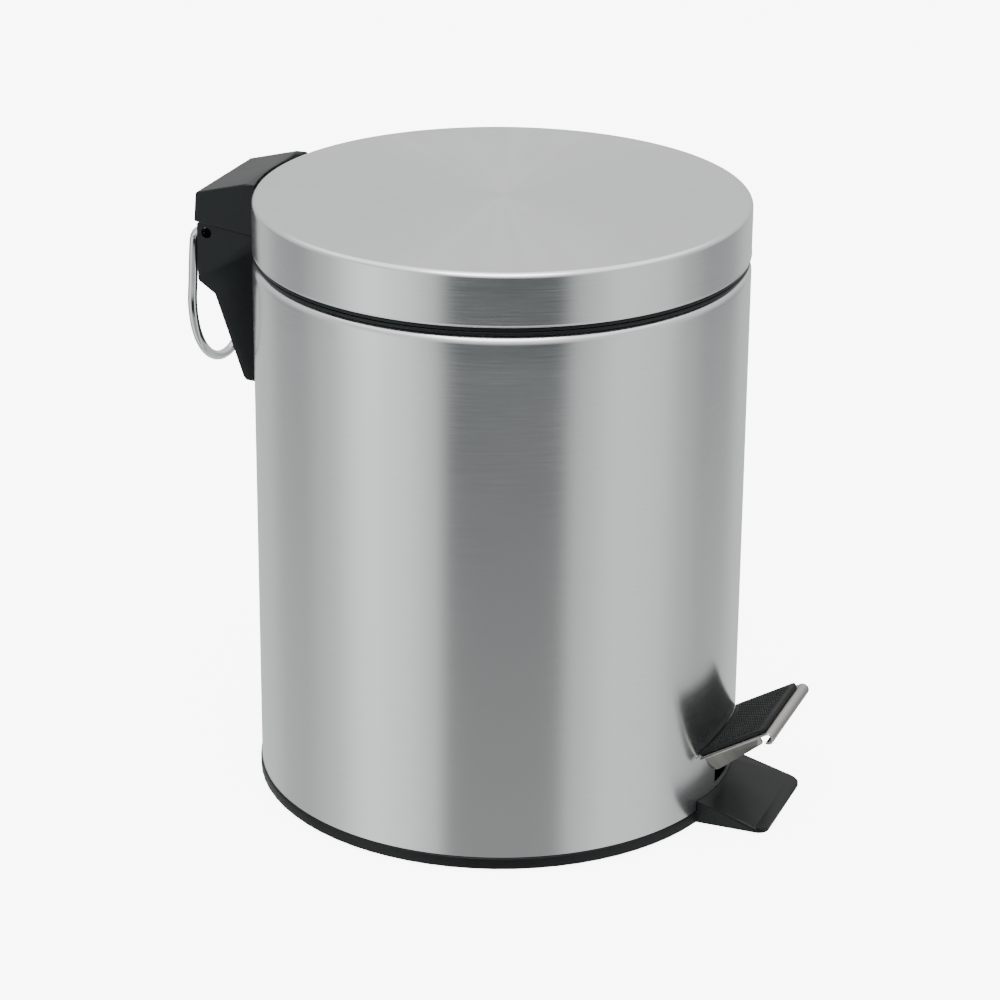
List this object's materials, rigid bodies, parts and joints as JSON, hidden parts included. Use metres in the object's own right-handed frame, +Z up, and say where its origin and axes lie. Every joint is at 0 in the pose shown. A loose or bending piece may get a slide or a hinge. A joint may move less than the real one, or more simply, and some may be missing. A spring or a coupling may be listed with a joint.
{
  "type": "pedal bin",
  "caption": "Small round pedal bin in brushed steel with a flat hinged lid, an inner bucket, a tread pedal that lifts the lid through a lever and rod, and a wire handle on its back",
  "frame": {"origin": "on the floor, on the body's axis", "axes": "+Z up, the pedal at -Y, the hinge and the wire handle at +Y, +X to the right of a person facing the hinge from the pedal"},
  "size_m": [0.2062, 0.2631, 0.2564],
  "materials": {
    "body_steel": "brushed around the body",
    "lid_steel": "brushed",
    "pedal_steel": "brushed",
    "lever_steel": "plain",
    "rod_steel": "drawn wire",
    "pin_steel": "drawn",
    "screw_steel": "plated",
    "bail_steel": "drawn wire",
    "handle_chrome": "bright",
    "base_plastic": "satin moulded",
    "rim_plastic": "satin moulded",
    "bracket_plastic": "satin moulded",
    "cover_plastic": "satin moulded",
    "liner_plastic": "satin moulded",
    "guide_plastic": "satin moulded",
    "bucket_plastic": "satin moulded",
    "tread_rubber": "nubbed",
    "foot_rubber": "plain"
  },
  "bodies": {
    "body": {"body_shell": "body_steel", "base_tray": "base_plastic", "foot_pad_1": "foot_rubber", "foot_pad_2": "foot_rubber", "foot_pad_3": "foot_rubber", "foot_pad_4": "foot_rubber", "rim_ring": "rim_plastic", "hinge_bracket": "bracket_plastic", "bracket_screw_left": "screw_steel", "bracket_screw_right": "screw_steel", "hinge_pin": "pin_steel", "rod_guide": "guide_plastic", "lever_axle": "pin_steel", "axle_clip_left": "screw_steel", "axle_clip_right": "screw_steel"},
    "lid": {"lid_shell": "lid_steel", "lid_liner": "liner_plastic", "hinge_cover": "cover_plastic", "lid_crank": "lever_steel", "cover_screw_left": "screw_steel", "cover_screw_right": "screw_steel"},
    "pedal": {"pedal_plate": "pedal_steel", "tread_pad": "tread_rubber", "pedal_lever": "lever_steel"},
    "rod": {"push_rod": "rod_steel"},
    "bucket": {"inner_bucket": "bucket_plastic"},
    "bail": {"bucket_bail": "bail_steel"},
    "handle": {"carry_handle": "handle_chrome"}
  },
  "joints": [
    {"name": "lid_hinge", "type": "hinge", "parent": "body", "child": "lid", "pos_m": [0, 0.1215, 0.246], "axis": [-1, 0, 0], "range_deg": [0, 80]},
    {"name": "pedal_hinge", "type": "hinge", "parent": "body", "child": "pedal", "pos_m": [0, -0.02, 0.0086], "axis": [1, 0, 0], "range_deg": [0, 8.6]},
    {"name": "push_rod_slide", "type": "slide", "parent": "body", "child": "rod", "axis": [0, 0, 1], "range_m": [0, 0.0174]},
    {"name": "bucket_lift", "type": "slide", "parent": "body", "child": "bucket", "axis": [0, 0, 1], "range_m": [0, 0.007]},
    {"name": "bucket_bail_hinge", "type": "hinge", "parent": "bucket", "child": "bail", "pos_m": [0, 0, 0.2385], "axis": [-1, 0, 0], "range_deg": [0, 5]},
    {"name": "carry_handle_hinge", "type": "hinge", "parent": "body", "child": "handle", "pos_m": [0, 0.1221, 0.2327], "axis": [1, 0, 0], "range_deg": [0, 80]}
  ],
  "couplings": [
    {"joint": "pedal_hinge", "follows": "lid_hinge", "ratio": 0.10625},
    {"joint": "push_rod_slide", "follows": "lid_hinge", "m_per_rad": 0.01243}
  ]
}
